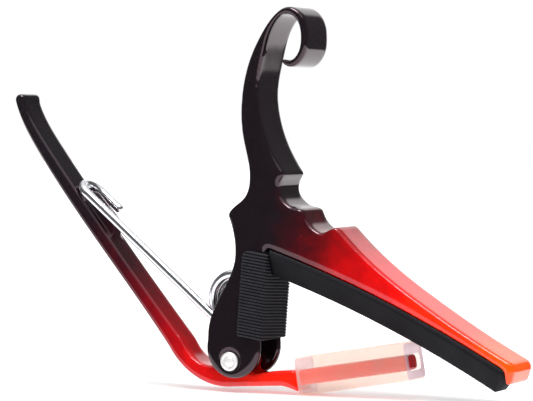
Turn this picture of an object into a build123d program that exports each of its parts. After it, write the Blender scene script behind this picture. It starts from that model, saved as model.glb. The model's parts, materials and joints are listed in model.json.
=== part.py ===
from build123d import *
from math import acos, atan2, cos, degrees, hypot, pi, radians, sin, sqrt
import os

# Guitar capo: a sprung clamp that holds all strings of a guitar neck down at one fret.
# Frame: origin on the pivot rivet's axis at mid width, X along the object from the squeezed
# lever (-X) to the tip of the string bar (+X), Y across its width, Z up. Millimetres.
# The capo stands at rest with its jaw closed. The outlines lie in the XZ plane.

# Widths across the object, along Y
BODY_WIDTH = 12.7
SLOT_WIDTH = 8.8
LEVER_WIDTH = 8.4
TONGUE_WIDTH = 6.6
SLEEVE_WIDTH = 10.9
BOSS_WIDTH = 4.0
PAD_FLAT_WIDTH = 7.0

# Upper frame
EDGE_ROUNDING = 0.5
FRETBOARD_RADIUS = 313.0
FRETBOARD_CENTRE = (-84.8, -271.1)
BAR_ROOT_X = 9.7
BAR_END_X = 70.4
FORK_FOOT_BACK = (-6.4, 5.0)
FORK_FOOT_LOW = (0.8, -4.25)
FORK_FOOT_FRONT = (7.85, 4.6)
COIL_HEADROOM = 0.6
COIL_CLEARANCE = 0.05
POCKET_FLOOR_Z = 12.0
POCKET_ROUNDING = 1.6
OVERCUT = 5.0

# Coil spring
WIRE_RADIUS = 1.12
COIL_CENTRE = (-1.1, 14.5)
COIL_RADIUS = 6.3
COIL_NEAR_Y = -3.1
COIL_FAR_Y = 3.1
HOOK_APEX = (-43.95, 42.0)
HOOK_HALF_SPACING = 3.7
HOOK_RETURN_LENGTH = 6.8
COIL_WHOLE_TURNS = 3
FIXED_LEG_LENGTH = 6.0

# Lever boss, along the lever from the pivot and off its inner face
BOSS_START = 42.5
BOSS_SHOULDER = 47.5
BOSS_END = 57.7
BOSS_SINK = 1.5
BOSS_HEIGHT_LOW = 2.9
BOSS_HEIGHT_HIGH = 2.3

# Pivot
SHANK_RADIUS = 2.0
EAR_HOLE_RADIUS = 2.02
HUB_HOLE_RADIUS = 2.06
HUB_RADIUS = 3.7
HEAD_RADIUS = 2.3
HEAD_HEIGHT = 0.9
HEAD_CROWN = 0.35
HEAD_FLAT_SHARE = 0.72

# String pad
PAD_THICKNESS = 5.8
PAD_SIDE_HEIGHT = 0.9
TAPE_THICKNESS = 0.2
TAPE_INSET = 0.4
BOND_GAP = 0.02
PAD_ROOT_GAP = 0.1
PAD_END_GAP = 0.15

# Neck sleeve
SLEEVE_TILT = 9.7
SLEEVE_LENGTH = 28.7
SLEEVE_HEIGHT = 9.1
SLEEVE_MOUTH = (17.35, -3.1)
SLEEVE_ROUNDING = 1.3
TONGUE_HEIGHT = 3.8
TONGUE_DROP = 0.35
TONGUE_SHORT = 0.6
TONGUE_CLEARANCE = 0.05
TONGUE_ROUNDING = 1.0
TONGUE_ROOT = -1.5

# Webbing guard
WEBBING_THICKNESS = 0.8
WEBBING_HEIGHT = 21.2
WEBBING_WRAP = 5.8
WEBBING_START = 0.7
WEBBING_CORNER = 1.6
GLUE_THICKNESS = 0.1
GLUE_INSET = 0.5


def extruded(outline, width):
    """A solid of the given width, centred on the XZ plane, from a closed outline of edges."""
    face = Plane.XZ * make_face(outline)
    return extrude(face, width / 2, both=True)


def side_edges(solid, width):
    """The edges all round both flat sides of an extruded solid."""
    return [e for e in solid.edges() if abs(abs(e.center().Y) - width / 2) < 0.001]


def long_edges(solid, length):
    """The edges of a solid that are longer than a length."""
    return solid.edges().filter_by(lambda e: e.length > length)


def underside_z(x):
    """Height of the arched underside of the string bar."""
    across = x - FRETBOARD_CENTRE[0]
    return FRETBOARD_CENTRE[1] + sqrt(FRETBOARD_RADIUS ** 2 - across ** 2)


def frame_outline():
    """Outline of the handle, its curl, the string bar and the fork, anticlockwise from the curl's end."""
    curl_end_low = (14.0, 71.3)
    curl_end_high = (14.1, 72.7)
    spur = (-0.9, 35.3)
    bar_root = (BAR_ROOT_X, underside_z(BAR_ROOT_X))
    bar_middle = (40.0, underside_z(40.0))
    bar_end = (BAR_END_X, underside_z(BAR_END_X))
    lip_inside = (70.6, -1.7)
    lip_low = (71.4, -2.6)
    lip_outside = (72.1, -1.7)
    nose = (72.9, 0.7)
    nose_top = (71.2, 3.0)
    bump_three = (27.9, 33.1)
    groove = (24.4, 31.3)
    bump_two = (19.2, 36.9)
    ledge = (16.0, 37.5)
    bump_one = (14.4, 45.1)
    curl_and_back = [
        curl_end_low, (16.2, 70.45), (19.2, 72.7), (20.4, 77.9), (18.9, 83.0), (15.4, 85.0),
        (12.0, 83.4), (8.4, 79.0), (4.9, 72.2), (2.9, 63.5), (3.2, 54.0), (5.0, 44.4),
        (3.6, 39.5), (0.2, 36.8), spur,
    ]
    heel = [spur, (0.6, 30.9), (0.9, 24.3), (-3.0, 15.9), FORK_FOOT_BACK]
    bar_top = [nose_top, (62.1, 8.0), (49.4, 15.8), (39.1, 22.9), (31.3, 29.6), bump_three]
    grip = [
        bump_one, (10.7, 50.8), (8.1, 57.5), (7.2, 65.0), (8.8, 73.4), (11.3, 80.6), (14.5, 83.2),
        (17.5, 81.7), (18.6, 77.7), (17.8, 73.8), (15.8, 72.1), curl_end_high,
    ]
    return [
        Spline(*curl_and_back),
        Spline(*heel),
        ThreePointArc(FORK_FOOT_BACK, FORK_FOOT_LOW, FORK_FOOT_FRONT),
        Line(FORK_FOOT_FRONT, bar_root),
        ThreePointArc(bar_root, bar_middle, bar_end),
        Line(bar_end, lip_inside),
        ThreePointArc(lip_inside, lip_low, lip_outside),
        Line(lip_outside, nose),
        ThreePointArc(nose, (72.5, 2.1), nose_top),
        Spline(*bar_top),
        Line(bump_three, groove),
        Spline(groove, (21.3, 33.0), bump_two),
        Line(bump_two, ledge),
        Spline(ledge, (12.8, 41.7), bump_one),
        Spline(*grip),
        ThreePointArc(curl_end_high, (13.4, 72.0), curl_end_low),
    ]


def slot_cutter():
    """The space between the fork's two ears: open at the back and foot, closed above the coil."""
    ceiling_z = COIL_CENTRE[1] + COIL_RADIUS + WIRE_RADIUS + COIL_HEADROOM
    wall_x = COIL_CENTRE[0] + COIL_RADIUS + WIRE_RADIUS + COIL_CLEARANCE
    below_z = FORK_FOOT_LOW[1] - OVERCUT
    behind_x = FORK_FOOT_BACK[0] - OVERCUT
    ahead_x = wall_x + OVERCUT
    outline = Polyline(
        (behind_x, below_z), (ahead_x, below_z), (ahead_x, POCKET_FLOOR_Z), (wall_x, POCKET_FLOOR_Z),
        (wall_x, ceiling_z), (behind_x, ceiling_z), close=True,
    )
    face = make_face(outline)
    pocket_corner = face.vertices().sort_by(Axis.Y)[-2:].sort_by(Axis.X)[-1]
    face = fillet(pocket_corner, POCKET_ROUNDING)
    return extrude(Plane.XZ * face, SLOT_WIDTH / 2, both=True)


def pivot_cutter(radius):
    """A hole along the pivot axis, wider than the capo."""
    return Rot(90, 0, 0) * Cylinder(radius, BODY_WIDTH * 2)


def upper_frame():
    """Handle with its finger curl, string bar and fork: one painted aluminium casting."""
    solid = extruded(frame_outline(), BODY_WIDTH)
    solid = fillet(side_edges(solid, BODY_WIDTH), EDGE_ROUNDING)
    return solid - slot_cutter() - pivot_cutter(EAR_HOLE_RADIUS)


def lever_outline():
    """Outline of the squeezed lever: handle, bend under the pivot, hub and the arm to its shoulder."""
    tip_outside = (-62.3, 62.6)
    tip_inside = (-59.7, 62.6)
    bend_outside = (-18.2, 2.7)
    belly = (-2.5, -6.6)
    flare_start = (12.8, -5.65)
    shoulder_low = (17.3, -7.0)
    shoulder_high = (16.3, -1.6)
    valley = (5.6, -3.0)
    hub_front = (HUB_RADIUS * cos(radians(-35)), HUB_RADIUS * sin(radians(-35)))
    hub_back = (HUB_RADIUS * cos(radians(200)), HUB_RADIUS * sin(radians(200)))
    heel_inside = (-9.6, -0.9)
    bend_inside = (-14.6, 4.4)
    outside = [tip_outside, (-60.6, 58.2), (-56.3, 51.0), (-49.6, 41.7), (-34.6, 23.0), bend_outside]
    inside = [bend_inside, (-30.5, 23.3), (-46.6, 43.3), (-53.9, 52.8), (-57.9, 58.8), tip_inside]
    return [
        Spline(*outside),
        Spline(bend_outside, (-12.8, -3.2), (-8.0, -5.7), belly),
        Line(belly, flare_start),
        Spline(flare_start, (15.0, -6.2), shoulder_low),
        Line(shoulder_low, shoulder_high),
        Spline(shoulder_high, (8.6, -2.4), valley),
        Line(valley, hub_front),
        ThreePointArc(hub_front, (0, HUB_RADIUS), hub_back),
        Spline(hub_back, (-6.0, -1.5), heel_inside),
        Spline(heel_inside, (-11.6, 0.5), bend_inside),
        Spline(*inside),
        ThreePointArc(tip_inside, (-61.0, 64.7), tip_outside),
    ]


def along_lever(distance, height):
    """A point on the lever, from the pivot: distance along its inner face, height off that face."""
    foot = (-14.6, 4.4)
    top = (-46.6, 43.3)
    span = hypot(top[0] - foot[0], top[1] - foot[1])
    run = ((top[0] - foot[0]) / span, (top[1] - foot[1]) / span)
    off = (run[1], -run[0])
    start = distance - (foot[0] * run[0] + foot[1] * run[1])
    return (foot[0] + run[0] * start + off[0] * height, foot[1] + run[1] * start + off[1] * height)


def lever_boss():
    """The raised rib on the lever's inner face that the spring's hook straddles."""
    rib = make_face(Polyline(
        along_lever(BOSS_START, -BOSS_SINK), along_lever(BOSS_END, -BOSS_SINK),
        along_lever(BOSS_END, BOSS_HEIGHT_HIGH), along_lever(BOSS_SHOULDER, BOSS_HEIGHT_LOW),
        close=True,
    ))
    return extrude(Plane.XZ * rib, BOSS_WIDTH / 2, both=True)


def sleeve_place(along, up):
    """A point in the XZ plane, measured along the sleeve's axis from its mouth, and up from it."""
    tilt = radians(SLEEVE_TILT)
    x = SLEEVE_MOUTH[0] + along * cos(tilt) - up * sin(tilt)
    z = SLEEVE_MOUTH[1] + along * sin(tilt) + up * cos(tilt)
    return (x, z)


def along_sleeve(start, end, height, width, up=0.0):
    """A bar along the sleeve's axis, between two distances from its mouth."""
    x, z = sleeve_place((start + end) / 2, up)
    return Pos(x, 0, z) * Rot(0, -SLEEVE_TILT, 0) * Box(end - start, width, height)


def lower_lever():
    """The squeezed lever: handle, spring boss, hub, arm, and the tongue that carries the sleeve."""
    solid = extruded(lever_outline(), LEVER_WIDTH)
    solid = fillet(side_edges(solid, LEVER_WIDTH), EDGE_ROUNDING)
    tongue_end = SLEEVE_LENGTH - TONGUE_SHORT
    tongue = along_sleeve(TONGUE_ROOT, tongue_end, TONGUE_HEIGHT, TONGUE_WIDTH, -TONGUE_DROP)
    tongue = fillet(long_edges(tongue, SLEEVE_LENGTH / 2), TONGUE_ROUNDING)
    return solid + lever_boss() + tongue - pivot_cutter(HUB_HOLE_RADIUS)


def neck_sleeve():
    """The soft tube pushed over the lever's tongue, which presses on the back of the neck."""
    tube = along_sleeve(0, SLEEVE_LENGTH, SLEEVE_HEIGHT, SLEEVE_WIDTH)
    tube = fillet(long_edges(tube, SLEEVE_LENGTH / 2), SLEEVE_ROUNDING)
    hole = along_sleeve(
        -1, SLEEVE_LENGTH + 1, TONGUE_HEIGHT + 2 * TONGUE_CLEARANCE,
        TONGUE_WIDTH + 2 * TONGUE_CLEARANCE, -TONGUE_DROP,
    )
    hole = fillet(long_edges(hole, SLEEVE_LENGTH / 2), TONGUE_ROUNDING)
    return tube - hole


def arc_strip(section):
    """A section, as (Y, depth below the bar), turned along the fretboard arc from guard to lip."""
    face = make_face(Polyline(*[(y, FRETBOARD_RADIUS - depth) for y, depth in section], close=True))
    centre_x, centre_z = FRETBOARD_CENTRE
    axis = Axis((centre_x, 0, centre_z), (0, 1, 0))
    first = degrees(atan2(-centre_x, underside_z(0) - centre_z))
    last_x = BAR_END_X - PAD_END_GAP
    last = degrees(atan2(last_x - centre_x, underside_z(last_x) - centre_z))
    upright = Plane((centre_x, 0, centre_z), x_dir=(0, 1, 0), z_dir=(1, 0, 0)) * face
    strip = revolve(upright.rotate(axis, first), axis, last - first)
    ahead = GLUE_THICKNESS + WEBBING_THICKNESS + PAD_ROOT_GAP
    above = 2 * WEBBING_HEIGHT
    behind_guard = make_face(Polyline(
        along_front(0, ahead), along_front(above, ahead), along_front(above, -above),
        along_front(0, -above), close=True,
    ))
    return strip - extrude(Plane.XZ * behind_guard, BODY_WIDTH, both=True)


def pad_tape():
    """The adhesive tape between the string bar and its pad."""
    half = BODY_WIDTH / 2 - TAPE_INSET
    low = TAPE_THICKNESS - BOND_GAP
    return arc_strip([(-half, BOND_GAP), (half, BOND_GAP), (half, low), (-half, low)])


def string_pad():
    """The rubber pad that presses the strings: a tapering strip with a narrow flat underneath."""
    half = BODY_WIDTH / 2
    flat = PAD_FLAT_WIDTH / 2
    top = TAPE_THICKNESS
    side = top + PAD_SIDE_HEIGHT
    bottom = top + PAD_THICKNESS
    return arc_strip([
        (-half, top), (half, top), (half, side), (flat, bottom), (-flat, bottom), (-half, side),
    ])


def pivot_rivet():
    """The nickel-plated rivet through both ears and the lever's hub, headed at both ends."""
    shank = Rot(90, 0, 0) * Cylinder(SHANK_RADIUS, BODY_WIDTH)
    half = BODY_WIDTH / 2
    side = [
        (0, half), (HEAD_RADIUS, half), (HEAD_RADIUS, half + HEAD_CROWN),
        (HEAD_RADIUS * HEAD_FLAT_SHARE, half + HEAD_HEIGHT), (0, half + HEAD_HEIGHT),
    ]
    head = revolve(make_face(Polyline(*side, close=True)), Axis.Y)
    return shank + head + head.mirror(Plane.XZ)


def coil_point(angle, y):
    """A point on the coil's centreline at an angle in the XZ plane, measured from +X towards +Z."""
    return (COIL_CENTRE[0] + COIL_RADIUS * cos(angle), y, COIL_CENTRE[1] + COIL_RADIUS * sin(angle))


def torsion_spring():
    """One wire: a hook round the lever's boss, a long leg, the coil, and a short leg in the frame."""
    to_apex = Vector(HOOK_APEX[0] - COIL_CENTRE[0], HOOK_APEX[1] - COIL_CENTRE[1])
    leave_angle = atan2(to_apex.Y, to_apex.X) + acos(COIL_RADIUS / to_apex.length)
    last_angle = 2 * pi * COIL_WHOLE_TURNS
    touch = coil_point(leave_angle, COIL_NEAR_Y)
    back = Vector(touch[0] - HOOK_APEX[0], touch[2] - HOOK_APEX[1]).normalized()
    bend_x = HOOK_APEX[0] + HOOK_HALF_SPACING * back.X
    bend_z = HOOK_APEX[1] + HOOK_HALF_SPACING * back.Y
    near_bend = (bend_x, -HOOK_HALF_SPACING, bend_z)
    far_bend = (bend_x, HOOK_HALF_SPACING, bend_z)
    wire_end_x = bend_x + HOOK_RETURN_LENGTH * back.X
    wire_end_z = bend_z + HOOK_RETURN_LENGTH * back.Y
    turns = (last_angle - leave_angle) / (2 * pi)
    rise = COIL_FAR_Y - COIL_NEAR_Y
    coil_frame = Plane(
        origin=(COIL_CENTRE[0], COIL_NEAR_Y, COIL_CENTRE[1]),
        x_dir=(cos(leave_angle), 0, sin(leave_angle)), z_dir=(0, 1, 0),
    )
    fixed_start = coil_point(last_angle, COIL_FAR_Y)
    fixed_end = (fixed_start[0], fixed_start[1], fixed_start[2] + FIXED_LEG_LENGTH)
    path = Wire([
        Line((wire_end_x, HOOK_HALF_SPACING, wire_end_z), far_bend),
        ThreePointArc(far_bend, (HOOK_APEX[0], 0, HOOK_APEX[1]), near_bend),
        Line(near_bend, touch),
        coil_frame * Helix(rise / turns, rise, COIL_RADIUS, lefthand=True),
        Line(fixed_start, fixed_end),
    ])
    section = Plane(origin=path @ 0, z_dir=path % 0) * Circle(WIRE_RADIUS)
    return sweep(section, path=path, transition=Transition.TRANSFORMED)


def along_front(up, ahead):
    """A point in the XZ plane, up the frame's sloping front edge from its foot and ahead of it."""
    top = (BAR_ROOT_X, underside_z(BAR_ROOT_X))
    run_x = top[0] - FORK_FOOT_FRONT[0]
    run_z = top[1] - FORK_FOOT_FRONT[1]
    span = hypot(run_x, run_z)
    x = FORK_FOOT_FRONT[0] + (run_x * up + run_z * ahead) / span
    z = FORK_FOOT_FRONT[1] + (run_z * up - run_x * ahead) / span
    return (x, z)


def wrap(first_gap, thickness, inset):
    """A band folded round the frame's front, from flap to flap, with rounded flap corners."""
    low = WEBBING_START + inset
    high = WEBBING_START + WEBBING_HEIGHT - inset
    back = -WEBBING_WRAP + inset
    outer = first_gap + thickness
    flap = make_face(Polyline(
        along_front(low, back), along_front(low, outer), along_front(high, outer),
        along_front(high, back), close=True,
    ))
    corners = flap.vertices().sort_by(Axis.X)[:2]
    flap = fillet(corners, WEBBING_CORNER)
    band = extrude(Plane.XZ * flap, BODY_WIDTH / 2 + outer, both=True)
    fold = long_edges(band, WEBBING_HEIGHT * 0.9).sort_by(Axis.X)[-2:]
    band = fillet(fold, thickness * 0.9)
    core = make_face(Polyline(
        along_front(low - OVERCUT, back - OVERCUT), along_front(low - OVERCUT, first_gap),
        along_front(high + OVERCUT, first_gap), along_front(high + OVERCUT, back - OVERCUT), close=True,
    ))
    return band - extrude(Plane.XZ * core, BODY_WIDTH / 2 + first_gap, both=True)


def guard_glue():
    """The contact adhesive under the webbing guard."""
    return wrap(0.0, GLUE_THICKNESS, GLUE_INSET)


def webbing_guard():
    """The woven strip glued round the front of the fork, where the guitar's neck would touch it."""
    return wrap(GLUE_THICKNESS, WEBBING_THICKNESS, 0.0)


PARTS = {
    "upper_frame": upper_frame,
    "lower_lever": lower_lever,
    "torsion_spring": torsion_spring,
    "pivot_rivet": pivot_rivet,
    "string_pad": string_pad,
    "string_pad_tape": pad_tape,
    "neck_sleeve": neck_sleeve,
    "webbing_guard": webbing_guard,
    "webbing_glue": guard_glue,
}

os.makedirs("parts", exist_ok=True)
for name, make in PARTS.items():
    export_step(make(), os.path.join("parts", name + ".step"))
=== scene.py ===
import json
from math import acos, atan2, cos, hypot, pi, radians, sin, sqrt

import bmesh
import bpy
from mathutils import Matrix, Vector


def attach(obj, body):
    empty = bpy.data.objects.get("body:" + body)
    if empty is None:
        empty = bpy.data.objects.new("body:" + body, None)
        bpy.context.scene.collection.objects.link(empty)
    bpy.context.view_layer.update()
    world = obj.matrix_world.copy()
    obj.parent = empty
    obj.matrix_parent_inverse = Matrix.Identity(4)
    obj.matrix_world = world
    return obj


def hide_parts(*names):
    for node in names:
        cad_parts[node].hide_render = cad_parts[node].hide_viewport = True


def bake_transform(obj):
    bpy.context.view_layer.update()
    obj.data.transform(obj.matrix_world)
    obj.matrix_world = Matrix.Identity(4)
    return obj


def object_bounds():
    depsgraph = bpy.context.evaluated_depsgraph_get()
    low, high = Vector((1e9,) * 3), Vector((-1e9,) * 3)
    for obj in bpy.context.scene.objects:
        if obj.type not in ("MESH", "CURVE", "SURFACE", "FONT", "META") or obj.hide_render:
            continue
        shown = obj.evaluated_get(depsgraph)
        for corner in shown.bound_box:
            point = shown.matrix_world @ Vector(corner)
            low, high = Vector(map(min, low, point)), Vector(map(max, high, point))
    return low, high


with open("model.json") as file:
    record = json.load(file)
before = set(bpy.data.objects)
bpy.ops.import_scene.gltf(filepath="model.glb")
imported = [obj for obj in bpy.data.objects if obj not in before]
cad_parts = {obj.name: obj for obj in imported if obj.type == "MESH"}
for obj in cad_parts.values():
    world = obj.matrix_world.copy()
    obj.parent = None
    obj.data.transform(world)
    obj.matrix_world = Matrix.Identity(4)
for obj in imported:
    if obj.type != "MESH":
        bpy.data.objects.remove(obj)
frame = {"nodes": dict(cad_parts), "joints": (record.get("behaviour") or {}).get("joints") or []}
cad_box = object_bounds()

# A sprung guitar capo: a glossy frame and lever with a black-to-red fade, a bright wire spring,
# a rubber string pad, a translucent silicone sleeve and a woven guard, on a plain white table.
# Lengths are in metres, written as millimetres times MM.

MM = 0.001

# Frame and bar
BODY_WIDTH = 12.7 * MM
FRETBOARD_RADIUS = 313.0 * MM
FRETBOARD_CENTRE = Vector((-84.8 * MM, 0.0, -271.1 * MM))
BAR_ROOT_X = 9.7 * MM
FORK_FOOT = Vector((7.85 * MM, 0.0, 4.6 * MM))

# Torsion spring
WIRE_RADIUS = 1.12 * MM
COIL_RADIUS = 6.3 * MM
COIL_HALF_WIDTH = 3.1 * MM
COIL_WHOLE_TURNS = 3
HOOK_APEX = Vector((-43.95 * MM, 0.0, 42.0 * MM))
HOOK_HALF_SPACING = 3.7 * MM
HOOK_RETURN_LENGTH = 6.8 * MM
FIXED_LEG_LENGTH = 6.0 * MM
WIRE_SIDES = 28
WIRE_END_SHARE = 0.72

# Rivet, whose shank leaves room inside the hub, because the lever's eased edges narrow its bore
RIVET_SHANK_RADIUS = 2.0 * MM
RIVET_SIDES = 64
LEVER_WIDTH = 8.4 * MM
HUB_ROOM = 0.35 * MM
# Rivet head, as (radius, height above the ear) in millimetres from the centre outwards
RIVET_HEAD = (
    (0.0, 0.90), (0.5, 0.88), (0.92, 0.78), (1.2, 0.6), (1.34, 0.42), (1.5, 0.42), (1.62, 0.58),
    (1.85, 0.68), (2.1, 0.6), (2.25, 0.42), (2.3, 0.2), (2.3, 0.0),
)

# String pad
PAD_TOP = 0.2 * MM
PAD_SIDE_HEIGHT = 0.9 * MM
PAD_BOTTOM = 6.0 * MM
PAD_FLAT_WIDTH = 7.0 * MM
PAD_ROOT_AHEAD = 1.0 * MM
PAD_END_X = 70.25 * MM
PAD_ROUNDING = 0.35 * MM

# Neck sleeve
SLEEVE_TILT = radians(9.7)
SLEEVE_MOUTH = Vector((17.35 * MM, 0.0, -3.1 * MM))
SLEEVE_SIZE = (10.9 * MM, 9.1 * MM)
SLEEVE_ROUNDING = 1.3 * MM
SLEEVE_LENGTH = 28.7 * MM
SLEEVE_LIP = 0.35 * MM
BORE_SIZE = (6.7 * MM, 3.9 * MM)
BORE_ROUNDING = 1.0 * MM
BORE_DROP = 0.35 * MM

# Webbing guard
GUARD_START = 0.7 * MM
GUARD_HEIGHT = 21.2 * MM
GUARD_WRAP = 5.8 * MM
GUARD_INSIDE = 0.1 * MM
GUARD_THICKNESS = 0.8 * MM
GUARD_CORNER = 1.6 * MM
RIB_PITCH = 0.75 * MM
YARN_PITCH = 0.68 * MM
RIB_DEPTH = 0.42 * MM
WEAVE_STEP = 0.1 * MM
GUARD_SEAL_WIDTH = 0.5 * MM
GUARD_SEAL_DEPTH = 0.15 * MM
GUARD_BACK_GAP = 0.02 * MM

# Castings: the grain of the remeshing, and how many rounds of smoothing ease their edges
FRAME_GRAIN = 0.28 * MM
FRAME_ROUNDS = 72
LEVER_GRAIN = 0.26 * MM
LEVER_ROUNDS = 52

# Stage
TABLE_GAP = 0.05 * MM
TABLE_SIZE = 6.0
CAMERA_PLACE = Vector((0.28007, -0.53643, 0.05756))
CAMERA_TARGET = Vector((0.00737, -0.00123, 0.03868))
CAMERA_LENS = 168.86
CAMERA_SENSOR = 36.0
BACKDROP_DIRECTION = (-0.454, 0.891, 0.0)
BACKDROP_LEVEL = 1.1
BELOW_LEVEL = 1.6
CEILING_LEVEL = 0.9
DIM_ROOM_LEVEL = 0.11


# ---------------------------------------------------------------- meshes

def mesh_piece(name, vertices, faces, material):
    """A smooth-shaded mesh whose normals point outwards."""
    mesh = bpy.data.meshes.new(name)
    mesh.from_pydata([tuple(v) for v in vertices], [], faces)
    shape = bmesh.new()
    shape.from_mesh(mesh)
    bmesh.ops.recalc_face_normals(shape, faces=shape.faces)
    shape.to_mesh(mesh)
    shape.free()
    mesh.shade_smooth()
    mesh.materials.append(material)
    piece = bpy.data.objects.new(name, mesh)
    bpy.context.scene.collection.objects.link(piece)
    return piece


def skin_faces(rows, columns, rows_close=False):
    """Quads over a grid of points whose rows are closed rings."""
    faces = []
    for i in range(rows if rows_close else rows - 1):
        for j in range(columns):
            here = i * columns
            there = ((i + 1) % rows) * columns
            beside = (j + 1) % columns
            faces.append((here + j, here + beside, there + beside, there + j))
    return faces


def loft(name, rings, material, rows_close=False):
    """A skin over a row of rings, with flat ends unless the last ring joins the first."""
    columns = len(rings[0])
    faces = skin_faces(len(rings), columns, rows_close)
    if not rows_close:
        last = (len(rings) - 1) * columns
        faces.append(tuple(range(columns)))
        faces.append(tuple(range(last, last + columns)))
    vertices = [point for ring in rings for point in ring]
    return mesh_piece(name, vertices, faces, material)


def steps(count):
    """Evenly spaced numbers from 0 to 1."""
    return [i / count for i in range(count + 1)]


def rounded_outline(corners, rounding, arc_steps=6, edge_steps=8):
    """A polygon's outline with each corner rounded, as 2-D points."""
    outline = []
    count = len(corners)
    for i in range(count):
        corner = Vector(corners[i])
        before = (Vector(corners[i - 1]) - corner).normalized()
        after = (Vector(corners[(i + 1) % count]) - corner).normalized()
        half_angle = before.angle(after) / 2
        setback = rounding / sin(half_angle) * cos(half_angle)
        first = corner + before * setback
        last = corner + after * setback
        centre = corner + (before + after).normalized() * (rounding / sin(half_angle))
        for t in steps(arc_steps):
            across = first.lerp(last, t) - centre
            outline.append(centre + across.normalized() * rounding)
        next_corner = Vector(corners[(i + 1) % count])
        following = Vector(corners[(i + 2) % count])
        next_half = (corner - next_corner).angle(following - next_corner) / 2
        arrive = next_corner - after * (rounding / sin(next_half) * cos(next_half))
        for t in steps(edge_steps)[1:-1]:
            outline.append(last.lerp(arrive, t))
    return outline


# ---------------------------------------------------------------- shader helpers

def add(tree, kind, inputs=None, **settings):
    """A shader node with its settings, and its inputs given as values or joined to outputs."""
    made = tree.nodes.new(kind)
    for key, value in settings.items():
        setattr(made, key, value)
    for key, value in (inputs or {}).items():
        if isinstance(value, bpy.types.NodeSocket):
            tree.links.new(value, made.inputs[key])
        else:
            made.inputs[key].default_value = value
    return made


def new_material(name):
    """A node material: its tree, its main shader, and the piece's own coordinates."""
    material = bpy.data.materials.new(name)
    material.use_nodes = True
    tree = material.node_tree
    surface = tree.nodes["Principled BSDF"]
    place = tree.nodes.new("ShaderNodeTexCoord").outputs["Object"]
    return material, tree, surface, place


def noise(tree, place, size, detail=2.0, roughness=0.5):
    """Cloudy noise from 0 to 1 whose blotches are about this many metres across."""
    made = add(tree, "ShaderNodeTexNoise", {
        "Vector": place, "Scale": 1.0 / size, "Detail": detail, "Roughness": roughness,
    })
    return made.outputs["Fac"]


def maths(tree, operation, first, second=0.0, third=0.0):
    """One step of arithmetic on values or outputs."""
    return add(tree, "ShaderNodeMath", {0: first, 1: second, 2: third}, operation=operation).outputs[0]


def ramp(tree, factor, stops):
    """A colour that changes with the factor through (place, (red, green, blue)) stops."""
    made = add(tree, "ShaderNodeValToRGB", {"Fac": factor})
    elements = made.color_ramp.elements
    while len(elements) < len(stops):
        elements.new(0.5)
    for element, (position, colour) in zip(elements, stops):
        element.position = position
        element.color = (*colour, 1.0)
    return made.outputs["Color"]


def spread(tree, factor, low, high):
    """The factor from 0 to 1, spread from low to high."""
    return add(tree, "ShaderNodeMapRange", {"Value": factor, "To Min": low, "To Max": high}).outputs[0]


def bump(tree, height, strength, distance):
    """A normal disturbed by a height."""
    made = add(tree, "ShaderNodeBump", {"Height": height, "Strength": strength, "Distance": distance})
    return made.outputs["Normal"]


def set_inputs(tree, surface, inputs):
    """Fill the main shader's inputs with values or outputs."""
    for key, value in inputs.items():
        if isinstance(value, bpy.types.NodeSocket):
            tree.links.new(value, surface.inputs[key])
        else:
            surface.inputs[key].default_value = value


# ---------------------------------------------------------------- materials

def fading_paint(name, hot_spot, stretch, reach, stops, wander, painted_shade_spot=None):
    """Clear-coated paint that fades with distance from a hot spot, with wandering cloudy edges, and, if
    a spot is given, painted shade that turns the colour nearly black round it.
    """
    material, tree, surface, place = new_material(name)
    offset = add(tree, "ShaderNodeVectorMath", {0: place, 1: hot_spot}, operation="SUBTRACT").outputs[0]
    scaled = add(tree, "ShaderNodeVectorMath", {0: offset, 1: stretch}, operation="MULTIPLY").outputs[0]
    distance = add(tree, "ShaderNodeVectorMath", {0: scaled}, operation="LENGTH").outputs["Value"]
    clouds = noise(tree, place, 9 * MM, detail=5.0, roughness=0.62)
    fade = add(tree, "ShaderNodeMapRange", {
        "Value": distance, "From Min": reach[0], "From Max": reach[1],
    }).outputs[0]
    cloudy = maths(tree, "MULTIPLY_ADD", maths(tree, "SUBTRACT", clouds, 0.5), wander, fade)
    colour = ramp(tree, cloudy, stops)
    blotches = spread(tree, noise(tree, place, 2.6 * MM, detail=4.0), 0.74, 1.24)
    flakes = spread(tree, noise(tree, place, 0.12 * MM, detail=1.0), 0.97, 1.03)
    shade = maths(tree, "MULTIPLY", blotches, flakes)
    # painted shade: within the spot's inner distance the colour is darkened to near black, easing back
    # to full colour by its outer distance
    if painted_shade_spot is not None:
        to_painted_shade = add(tree, "ShaderNodeVectorMath", {0: place, 1: painted_shade_spot[0]}, operation="DISTANCE")
        outside_painted_shade = add(tree, "ShaderNodeMapRange", {
            "Value": to_painted_shade.outputs["Value"], "From Min": painted_shade_spot[1], "From Max": painted_shade_spot[2],
            "To Min": 0.02,
        }).outputs[0]
        shade = maths(tree, "MULTIPLY", shade, outside_painted_shade)
    grey = add(tree, "ShaderNodeCombineColor", {"Red": shade, "Green": shade, "Blue": shade})
    mottled = add(tree, "ShaderNodeMix", {
        0: 1.0, 6: colour, 7: grey.outputs[0],
    }, data_type="RGBA", blend_type="MULTIPLY").outputs[2]
    peel = bump(tree, noise(tree, place, 1.6 * MM), 0.05, 0.02 * MM)
    scuffs = spread(tree, noise(tree, place, 5 * MM, detail=6.0), 0.02, 0.06)
    set_inputs(tree, surface, {
        "Base Color": mottled, "Roughness": 0.08, "Specular IOR Level": 0.6,
        "Specular Tint": (1.0, 0.70, 0.80, 1.0),
        "Normal": peel, "Coat Weight": 0.25, "Coat Roughness": scuffs, "Coat Normal": peel,
    })
    return material


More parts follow.
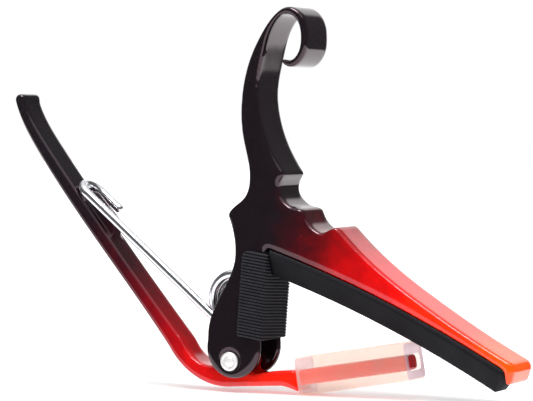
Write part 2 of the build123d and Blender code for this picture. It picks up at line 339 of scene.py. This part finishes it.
def frame_paint():
    """Black on the handle and fork, through wine red, to orange-red at the bar's tip."""
    return fading_paint("frame_paint", (72 * MM, 0.0, -3 * MM), (1.0, 1.0, 0.55), (0.0, 70 * MM), [
        (0.00, (1.0, 0.11, 0.001)), (0.20, (0.98, 0.030, 0.001)), (0.46, (0.72, 0.002, 0.001)),
        (0.62, (0.42, 0.000, 0.001)), (0.72, (0.13, 0.001, 0.002)), (0.80, (0.035, 0.002, 0.004)),
        (0.90, (0.006, 0.004, 0.006)),
    ], 0.30)


def lever_paint():
    """Black at the handle's top, through wine red, to orange-red on the arm, with painted shade that
    makes it nearly black round the pivot, where the hub sits between the fork's plates.
    """
    return fading_paint("lever_paint", (16 * MM, 0.0, -8 * MM), (0.7, 1.0, 1.0), (0.0, 70 * MM), [
        (0.00, (0.95, 0.018, 0.001)), (0.25, (0.62, 0.002, 0.002)), (0.38, (0.34, 0.000, 0.003)),
        (0.52, (0.12, 0.001, 0.005)), (0.68, (0.030, 0.002, 0.005)), (0.82, (0.011, 0.004, 0.007)),
        (1.00, (0.007, 0.006, 0.008)),
    ], 0.24, painted_shade_spot=((0.0, 0.0, 1.2 * MM), 4.6 * MM, 5.8 * MM))


def plated_metal(name, colour, roughness, grain, metallic=1.0):
    """Bright plated metal with faint clouding and fine drawing marks."""
    material, tree, surface, place = new_material(name)
    clouds = noise(tree, place, 3 * MM, detail=4.0)
    tone = ramp(tree, clouds, [(0.25, tuple(c * 0.86 for c in colour)), (0.75, colour)])
    fine = noise(tree, place, grain, detail=3.0)
    set_inputs(tree, surface, {
        "Base Color": tone, "Metallic": metallic,
        "Roughness": spread(tree, fine, roughness * 0.6, roughness * 1.5),
        "Normal": bump(tree, fine, 0.04, 0.01 * MM),
    })
    return material


def pad_rubber():
    """Matte charcoal rubber with a fine grain."""
    material, tree, surface, place = new_material("pad_rubber")
    grain = noise(tree, place, 0.22 * MM, detail=3.0)
    bloom = noise(tree, place, 6 * MM, detail=5.0)
    set_inputs(tree, surface, {
        "Base Color": ramp(tree, bloom, [(0.3, (0.003, 0.003, 0.005)), (0.8, (0.008, 0.008, 0.011))]),
        "Roughness": spread(tree, grain, 0.62, 0.85), "Specular IOR Level": 0.22,
        "Normal": bump(tree, grain, 0.5, 0.03 * MM),
    })
    return material


def adhesive(name, light, dark, roughness):
    """A thin film of adhesive, a little streaky."""
    material, tree, surface, place = new_material(name)
    streaks = noise(tree, place, 1.6 * MM, detail=4.0)
    set_inputs(tree, surface, {
        "Base Color": ramp(tree, streaks, [(0.2, dark), (0.8, light)]),
        "Roughness": spread(tree, streaks, roughness * 0.7, roughness * 1.3),
        "Normal": bump(tree, noise(tree, place, 0.3 * MM), 0.3, 0.02 * MM),
    })
    return material


def webbing_yarn():
    """Black nylon yarn with a soft sheen, lighter on top of the ribs and darker in the gaps between
    them as painted light and shade.
    """
    material, tree, surface, place = new_material("webbing")
    fibres = noise(tree, place, 0.09 * MM, detail=3.0)
    wear = noise(tree, place, 3 * MM, detail=5.0)
    crown = add(tree, "ShaderNodeAttribute", attribute_name="crown").outputs["Fac"]
    # painted light and shade: the yarn's colour follows its height, dark in the gaps and lighter on the
    # rib tops, varied a little by noise
    painted_rib_shade = maths(tree, "MULTIPLY", crown, spread(tree, wear, 0.8, 1.2))
    set_inputs(tree, surface, {
        "Base Color": ramp(tree, painted_rib_shade, [(0.25, (0.001, 0.001, 0.002)), (0.95, (0.034, 0.034, 0.041))]),
        "Roughness": 0.5, "Specular IOR Level": 0.12, "Sheen Weight": 0.02, "Sheen Roughness": 0.4,
        "Sheen Tint": (0.75, 0.75, 0.8, 1.0),
        "Normal": bump(tree, fibres, 0.5, 0.02 * MM),
    })
    return material


def silicone(name, deep, pale, see_through, tint):
    """Cloudy, half see-through silicone with a soft shine."""
    material, tree, surface, place = new_material(name)
    cloud = noise(tree, place, 4 * MM, detail=3.0)
    set_inputs(tree, surface, {
        "Base Color": ramp(tree, cloud, [(0.2, deep), (0.8, pale)]),
        "Roughness": 0.3, "Specular IOR Level": 0.5,
        "Normal": bump(tree, noise(tree, place, 2 * MM), 0.08, 0.05 * MM),
    })
    clear = add(tree, "ShaderNodeBsdfTransparent", {"Color": (*tint, 1.0)})
    share = spread(tree, cloud, see_through - 0.05, see_through + 0.05)
    ray = add(tree, "ShaderNodeLightPath").outputs
    bounced = maths(tree, "MAXIMUM", ray["Is Shadow Ray"], ray["Is Diffuse Ray"])
    share = maths(tree, "MAXIMUM", share, maths(tree, "MULTIPLY", bounced, 0.94))
    mixed = add(tree, "ShaderNodeMixShader", {
        0: share, 1: surface.outputs[0], 2: clear.outputs[0],
    })
    tree.links.new(mixed.outputs[0], tree.nodes["Material Output"].inputs["Surface"])
    return material


def table_white():
    """The plain white table, which glows more the further it is from the object."""
    material, tree, surface, place = new_material("table_white")
    from_object = add(tree, "ShaderNodeVectorMath", {0: place}, operation="LENGTH").outputs["Value"]
    glow = add(tree, "ShaderNodeMapRange", {
        "Value": from_object, "From Min": 0.08, "From Max": 0.35, "To Min": 0.18, "To Max": 0.7,
    }, interpolation_type="SMOOTHSTEP").outputs[0]
    set_inputs(tree, surface, {
        "Base Color": (0.90, 0.90, 0.90, 1.0), "Specular IOR Level": 0.3,
        "Roughness": spread(tree, noise(tree, place, 30 * MM), 0.3, 0.4),
        "Emission Color": (1.0, 1.0, 1.0, 1.0), "Emission Strength": glow,
    })
    return material


# ---------------------------------------------------------------- pieces

def rounded_casting(name, node, body, grain, rounds, material):
    """A CAD node's shape with its edges eased all over, as thick paint on a casting leaves them."""
    piece = bpy.data.objects.new(name, frame["nodes"][node].data.copy())
    piece.data.materials.clear()
    piece.data.materials.append(material)
    bpy.context.scene.collection.objects.link(piece)
    remesh = piece.modifiers.new("even mesh", "REMESH")
    remesh.mode = "VOXEL"
    remesh.voxel_size = grain
    remesh.use_smooth_shade = True
    ease = piece.modifiers.new("eased edges", "SMOOTH")
    ease.factor = 0.5
    ease.iterations = rounds
    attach(piece, body)
    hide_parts(node)


def paint_node(name, material):
    """A CAD node shown as it is, in its own material."""
    node = frame["nodes"][name]
    node.data.materials.clear()
    node.data.materials.append(material)


def spring_path():
    """The wire's centreline: the hook's return, the hook, the long leg, the coil, the fixed leg."""
    spring_leg = [joint for joint in frame["joints"] if joint["name"] == "spring_leg"][0]
    centre = Vector(spring_leg["pos_m"])
    to_apex = HOOK_APEX - centre
    leave = atan2(to_apex.z, to_apex.x) + acos(COIL_RADIUS / hypot(to_apex.x, to_apex.z))
    finish = 2 * pi * COIL_WHOLE_TURNS

    def on_coil(angle):
        share = (angle - leave) / (finish - leave)
        across = -COIL_HALF_WIDTH + 2 * COIL_HALF_WIDTH * share
        return centre + Vector((COIL_RADIUS * cos(angle), across, COIL_RADIUS * sin(angle)))

    touch = on_coil(leave)
    back = Vector((touch.x - HOOK_APEX.x, 0.0, touch.z - HOOK_APEX.z)).normalized()
    bend = HOOK_APEX + back * HOOK_HALF_SPACING
    side = Vector((0.0, 1.0, 0.0))
    far_bend = bend + side * HOOK_HALF_SPACING
    wire_end = far_bend + back * HOOK_RETURN_LENGTH
    path = [wire_end.lerp(far_bend, t) for t in steps(12)]
    for t in steps(24)[1:]:
        turn = pi * t
        path.append(bend + (side * cos(turn) - back * sin(turn)) * HOOK_HALF_SPACING)
    near_bend = path[-1].copy()
    path += [near_bend.lerp(touch, t) for t in steps(60)[1:]]
    path += [on_coil(leave + (finish - leave) * t) for t in steps(170)[1:]]
    coil_end = path[-1].copy()
    path += [coil_end + Vector((0.0, 0.0, FIXED_LEG_LENGTH * t)) for t in steps(10)[1:]]
    return path, centre


def wire_rings(path, radius):
    """Rings of points round a path, carried along it without twisting, with rounded ends."""
    rings = []
    heading = (path[1] - path[0]).normalized()
    across = heading.orthogonal().normalized()
    last = len(path) - 1
    for i, point in enumerate(path):
        ahead = path[min(i + 1, last)] - path[max(i - 1, 0)]
        turn = heading.rotation_difference(ahead)
        across = turn @ across
        heading = ahead.normalized()
        upward = heading.cross(across).normalized()
        slim = WIRE_END_SHARE if i in (0, last) else 1.0
        ring = []
        for k in range(WIRE_SIDES):
            angle = 2 * pi * k / WIRE_SIDES
            ring.append(point + (across * cos(angle) + upward * sin(angle)) * radius * slim)
        rings.append(ring)
    return rings


def torsion_spring():
    """The bright wire spring, which bends from its leg in the frame to its hook round the lever."""
    path, centre = spring_path()
    material = plated_metal("spring_wire", (0.90, 0.91, 0.95), 0.2, 0.25 * MM)
    spring = loft("torsion_spring_wire", wire_rings(path, WIRE_RADIUS), material)
    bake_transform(spring)
    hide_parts("torsion_spring")


def turned(profile, sides):
    """Rings of points round the Y axis, from (radius, y) pairs."""
    rings = []
    for radius, y in profile:
        angles = [2 * pi * k / sides for k in range(sides)]
        rings.append([Vector((radius * cos(a), y, radius * sin(a))) for a in angles])
    return rings


def pivot_rivet():
    """The rivet: a shank, slimmer inside the lever's hub, with a ring round a low dome at each end."""
    half = BODY_WIDTH / 2
    tiny = 0.02 * MM
    head = [(max(r * MM, tiny), half + h * MM) for r, h in RIVET_HEAD]
    near_side = [(r, -y) for r, y in head]
    far_side = [(r, y) for r, y in reversed(head)]
    neck = LEVER_WIDTH / 2 + HUB_ROOM
    waist = RIVET_SHANK_RADIUS - HUB_ROOM
    shank = [
        (RIVET_SHANK_RADIUS, -half), (RIVET_SHANK_RADIUS, -neck), (waist, -neck),
        (waist, neck), (RIVET_SHANK_RADIUS, neck), (RIVET_SHANK_RADIUS, half),
    ]
    rings = turned(near_side + shank + far_side, RIVET_SIDES)
    nickel = plated_metal("rivet_nickel", (0.98, 0.97, 0.96), 0.4, 0.2 * MM, metallic=0.55)
    rivet = loft("rivet", rings, nickel)
    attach(rivet, "frame")
    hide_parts("pivot_rivet")


def underside_z(x):
    """The height of the bar's arched underside."""
    return FRETBOARD_CENTRE.z + sqrt(FRETBOARD_RADIUS ** 2 - (x - FRETBOARD_CENTRE.x) ** 2)


def front_frame():
    """The foot, the upward direction and the forward direction of the fork's sloping front edge."""
    top = Vector((BAR_ROOT_X, 0.0, underside_z(BAR_ROOT_X)))
    up = (top - FORK_FOOT).normalized()
    ahead = Vector((up.z, 0.0, -up.x))
    return FORK_FOOT, up, ahead


def string_pad():
    """The rubber pad along the bar's arch, with rounded lower edges."""
    half = BODY_WIDTH / 2
    flat = PAD_FLAT_WIDTH / 2
    side = PAD_TOP + PAD_SIDE_HEIGHT
    outline = rounded_outline([
        (-half, PAD_TOP), (half, PAD_TOP), (half, side), (flat, PAD_BOTTOM), (-flat, PAD_BOTTOM),
        (-half, side),
    ], PAD_ROUNDING)
    foot, _, ahead = front_frame()
    ahead_angle = atan2(ahead.z, ahead.x)
    reach = (foot + ahead * PAD_ROOT_AHEAD - FRETBOARD_CENTRE).dot(ahead)
    last = acos((PAD_END_X - FRETBOARD_CENTRE.x) / FRETBOARD_RADIUS)
    first = [ahead_angle + acos(reach / (FRETBOARD_RADIUS - depth)) for _, depth in outline]
    rings = []
    for t in steps(150):
        ring = []
        for (y, depth), begin in zip(outline, first):
            angle = begin + (last - begin) * t
            radius = FRETBOARD_RADIUS - depth
            ring.append(FRETBOARD_CENTRE + Vector((radius * cos(angle), y, radius * sin(angle))))
        rings.append(ring)
    pad = loft("string_pad_rubber", rings, pad_rubber())
    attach(pad, "frame")
    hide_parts("string_pad")


def sleeve_directions():
    """The direction along the sleeve and the direction up across it."""
    axis = Vector((cos(SLEEVE_TILT), 0.0, sin(SLEEVE_TILT)))
    upward = Vector((-sin(SLEEVE_TILT), 0.0, cos(SLEEVE_TILT)))
    return axis, upward


def box_corners(size, drop):
    """The corners of a rectangle, as (across, up), lowered by a drop."""
    across = size[0] / 2
    up = size[1] / 2
    return [(-across, -up - drop), (across, -up - drop), (across, up - drop), (-across, up - drop)]


def shrunk(size, amount):
    """A size smaller by an amount on every side."""
    return (size[0] - 2 * amount, size[1] - 2 * amount)


def neck_sleeve():
    """The soft tube on the lever's tongue, with eased edges at both open ends."""
    axis, upward = sleeve_directions()
    rings = []

    def ring(along, size, rounding, drop):
        outline = rounded_outline(box_corners(size, drop), rounding)
        centre = SLEEVE_MOUTH + axis * along
        rings.append([centre + Vector((0.0, y, 0.0)) + upward * z for y, z in outline])

    quarter = [pi / 2 * t for t in steps(4)]
    for turn in quarter:
        eased = SLEEVE_LIP * (1 - sin(turn))
        ring(SLEEVE_LIP * (1 - cos(turn)), shrunk(SLEEVE_SIZE, eased), SLEEVE_ROUNDING - eased, 0.0)
    for t in steps(40)[1:-1]:
        ring(SLEEVE_LIP + (SLEEVE_LENGTH - 2 * SLEEVE_LIP) * t, SLEEVE_SIZE, SLEEVE_ROUNDING, 0.0)
    for turn in reversed(quarter):
        eased = SLEEVE_LIP * (1 - sin(turn))
        ring(SLEEVE_LENGTH - SLEEVE_LIP * (1 - cos(turn)), shrunk(SLEEVE_SIZE, eased),
             SLEEVE_ROUNDING - eased, 0.0)
    outer_rows = len(rings)
    for t in reversed(steps(40)):
        ring(SLEEVE_LENGTH * t, BORE_SIZE, BORE_ROUNDING, BORE_DROP)
    lip_rows = (outer_rows - 1, len(rings) - 1)
    wall = silicone("sleeve_silicone", (0.76, 0.52, 0.41), (0.82, 0.58, 0.47), 0.74, (0.96, 0.86, 0.82))
    sleeve = loft("neck_sleeve_silicone", rings, wall, rows_close=True)
    bore = silicone("sleeve_bore", (0.70, 0.50, 0.52), (0.80, 0.60, 0.62), 0.95, (1.0, 0.98, 0.98))
    # the two end faces get a darker, mauver, less see-through copy of the same silicone, as painted
    # shade on the ends
    lips = silicone("sleeve_lips", (0.60, 0.46, 0.54), (0.72, 0.58, 0.66), 0.50, (0.88, 0.76, 0.84))
    sleeve.data.materials.append(bore)
    sleeve.data.materials.append(lips)
    for face in sleeve.data.polygons:
        row = face.index // len(rings[0])
        if row >= outer_rows:
            face.material_index = 1
        if row in lip_rows:
            face.material_index = 2
    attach(sleeve, "lever")
    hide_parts("neck_sleeve")


def weave_height(along, up):
    """How far the yarns stand out: ribs across, crossed over and under by upright yarns."""
    rib = (up + along * 0.06) / RIB_PITCH
    yarn = along / YARN_PITCH
    rib_crown = abs(cos(pi * (rib - round(rib))))
    crossing = cos(pi * (yarn + 0.5 * round(rib))) ** 2
    return RIB_DEPTH * (rib_crown * (0.55 + 0.45 * crossing) - 1.0)


def guard_outline(along, offset, half_front, flap):
    """A point on the near half of the folded strip's plan, as (y, ahead)."""
    fold = GUARD_INSIDE + GUARD_THICKNESS
    arc = fold * pi / 2
    turn_radius = fold + offset
    if along < flap:
        return (-half_front - turn_radius, along - flap)
    if along < flap + arc:
        turn = (along - flap) / fold
        return (-half_front - turn_radius * cos(turn), turn_radius * sin(turn))
    across = along - flap - arc
    return (-half_front + across, turn_radius)


def webbing_guard():
    """The woven strip folded round the fork's front, with real ribs and rounded flap corners."""
    foot, up, ahead = front_frame()
    half_front = BODY_WIDTH / 2
    flap = GUARD_WRAP
    half_length = flap + (GUARD_INSIDE + GUARD_THICKNESS) * pi / 2 + half_front
    columns = int(2 * half_length / WEAVE_STEP)
    rows = int(GUARD_HEIGHT / WEAVE_STEP)

    def place(along, height, offset):
        mirrored = along > half_length
        near = 2 * half_length - along if mirrored else along
        y, front = guard_outline(near, offset, half_front, flap)
        y = -y if mirrored else y
        return foot + up * height + ahead * front + Vector((0.0, y, 0.0))

    outer = []
    inner = []
    crowns = []
    for i in range(rows + 1):
        height = GUARD_HEIGHT * i / rows
        to_edge = min(height, GUARD_HEIGHT - height)
        cut = 0.0
        if to_edge < GUARD_CORNER:
            cut = GUARD_CORNER - sqrt(GUARD_CORNER ** 2 - (GUARD_CORNER - to_edge) ** 2)
        for j in range(columns + 1):
            along = cut + (2 * half_length - 2 * cut) * j / columns
            edge = min(along - cut, 2 * half_length - cut - along, to_edge) / GUARD_SEAL_WIDTH
            seal = min(1.0, edge)
            weave = weave_height(along, height)
            # each outer point's yarn height from 0 to 1, which the material turns into painted rib
            # shade
            crowns.append(1.0 + weave / RIB_DEPTH)
            relief = weave - (1 - seal) * GUARD_SEAL_DEPTH
            outer.append(place(along, GUARD_START + height, relief))
            inner.append(place(along, GUARD_START + height, GUARD_BACK_GAP - GUARD_THICKNESS))
    vertices = outer + inner
    shift = len(outer)
    wide = columns + 1
    faces = []
    for i in range(rows):
        for j in range(columns):
            a = i * wide + j
            faces.append((a, a + 1, a + 1 + wide, a + wide))
            faces.append((shift + a, shift + a + wide, shift + a + 1 + wide, shift + a + 1))
    for j in range(columns):
        for a in (j, rows * wide + j):
            faces.append((a, a + 1, shift + a + 1, shift + a))
    for i in range(rows):
        for a in (i * wide, i * wide + columns):
            faces.append((a, a + wide, shift + a + wide, shift + a))
    guard = mesh_piece("webbing_weave", vertices, faces, webbing_yarn())
    crown = guard.data.attributes.new("crown", "FLOAT", "POINT")
    crown.data.foreach_set("value", crowns + [0.0] * len(inner))
    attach(guard, "frame")
    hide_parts("webbing_guard")


# ---------------------------------------------------------------- stage

def sleeve_toe():
    """An empty that rides under the sleeve's far end, which is the lowest point of an open jaw."""
    axis, upward = sleeve_directions()
    toe = bpy.data.objects.new("sleeve_toe", None)
    toe.location = SLEEVE_MOUTH + axis * SLEEVE_LENGTH - upward * (SLEEVE_SIZE[1] / 2 + TABLE_GAP)
    bpy.context.scene.collection.objects.link(toe)
    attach(toe, "lever")
    return toe


def table():
    """A plain white table just under the lowest point, which sinks out of the way of an opening jaw."""
    rest_height = cad_box[0][2] - TABLE_GAP
    bpy.ops.mesh.primitive_plane_add(size=TABLE_SIZE, location=(0.0, 0.0, rest_height))
    plane = bpy.context.object
    plane.name = "table"
    plane.data.materials.append(table_white())
    plane.visible_glossy = False
    sink = plane.constraints.new("COPY_LOCATION")
    sink.target = sleeve_toe()
    sink.use_x = False
    sink.use_y = False
    top = plane.constraints.new("LIMIT_LOCATION")
    top.use_max_z = True
    top.max_z = rest_height


def softbox(name, location, target, size, power, seen_in_gloss=True):
    """A large square light that faces a target."""
    data = bpy.data.lights.new(name, "AREA")
    data.size = size
    data.energy = power
    lamp = bpy.data.objects.new(name, data)
    lamp.location = location
    lamp.rotation_euler = (Vector(target) - Vector(location)).to_track_quat("-Z", "Y").to_euler()
    lamp.visible_glossy = seen_in_gloss
    bpy.context.scene.collection.objects.link(lamp)


def surroundings():
    """A white table below, a white backdrop behind, a soft ceiling, and dim room all round."""
    world = bpy.data.worlds.new("studio")
    bpy.context.scene.world = world
    world.use_nodes = True
    tree = world.node_tree
    direction = add(tree, "ShaderNodeTexCoord").outputs["Generated"]
    height = add(tree, "ShaderNodeSeparateXYZ", {0: direction}).outputs["Z"]
    facing = add(tree, "ShaderNodeVectorMath", {
        0: direction, 1: BACKDROP_DIRECTION,
    }, operation="DOT_PRODUCT").outputs["Value"]

    def step_up(value, start, end, level):
        """A level that is reached smoothly between two values."""
        return add(tree, "ShaderNodeMapRange", {
            "Value": value, "From Min": start, "From Max": end, "To Max": level,
        }, interpolation_type="SMOOTHSTEP").outputs[0]

    backdrop = step_up(facing, 0.72, 0.80, BACKDROP_LEVEL)
    below = step_up(height, -0.16, -0.21, BELOW_LEVEL)
    ceiling = step_up(height, 0.60, 0.72, CEILING_LEVEL)
    sides = maths(tree, "MAXIMUM", maths(tree, "MAXIMUM", below, ceiling), backdrop)
    glow = maths(tree, "MAXIMUM", sides, DIM_ROOM_LEVEL)
    seen = add(tree, "ShaderNodeLightPath").outputs["Is Camera Ray"]
    strength = add(tree, "ShaderNodeMix", {0: seen, 2: glow, 3: 1.0}, data_type="FLOAT").outputs[0]
    background = tree.nodes["Background"]
    background.inputs["Color"].default_value = (1.0, 1.0, 1.0, 1.0)
    tree.links.new(strength, background.inputs["Strength"])


def camera():
    """A long lens, low and to the right of the bar's near side."""
    data = bpy.data.cameras.new("camera")
    data.lens = CAMERA_LENS
    data.sensor_width = CAMERA_SENSOR
    view = bpy.data.objects.new("camera", data)
    view.location = CAMERA_PLACE
    view.rotation_euler = (CAMERA_TARGET - view.location).to_track_quat("-Z", "Y").to_euler()
    bpy.context.scene.collection.objects.link(view)
    bpy.context.scene.camera = view


rounded_casting("frame_casting", "upper_frame", "frame", FRAME_GRAIN, FRAME_ROUNDS, frame_paint())
rounded_casting("lever_casting", "lower_lever", "lever", LEVER_GRAIN, LEVER_ROUNDS, lever_paint())
paint_node("string_pad_tape", adhesive("tape", (0.05, 0.05, 0.055), (0.02, 0.02, 0.022), 0.5))
paint_node("webbing_glue", adhesive("glue", (0.30, 0.22, 0.12), (0.16, 0.11, 0.06), 0.3))
torsion_spring()
pivot_rivet()
string_pad()
neck_sleeve()
webbing_guard()

table()
surroundings()
softbox("overhead", (0.1, -0.25, 0.9), (0.0, 0.0, 0.0), 0.45, 9.0)
softbox("front_fill", (-0.3, -0.9, 0.35), (0.0, 0.0, 0.03), 0.6, 1.8, seen_in_gloss=False)
softbox("right_fill", (0.9, -0.35, 0.25), (0.0, 0.0, 0.03), 0.5, 3.2, seen_in_gloss=False)
camera()
bpy.context.scene.view_settings.view_transform = "Standard"
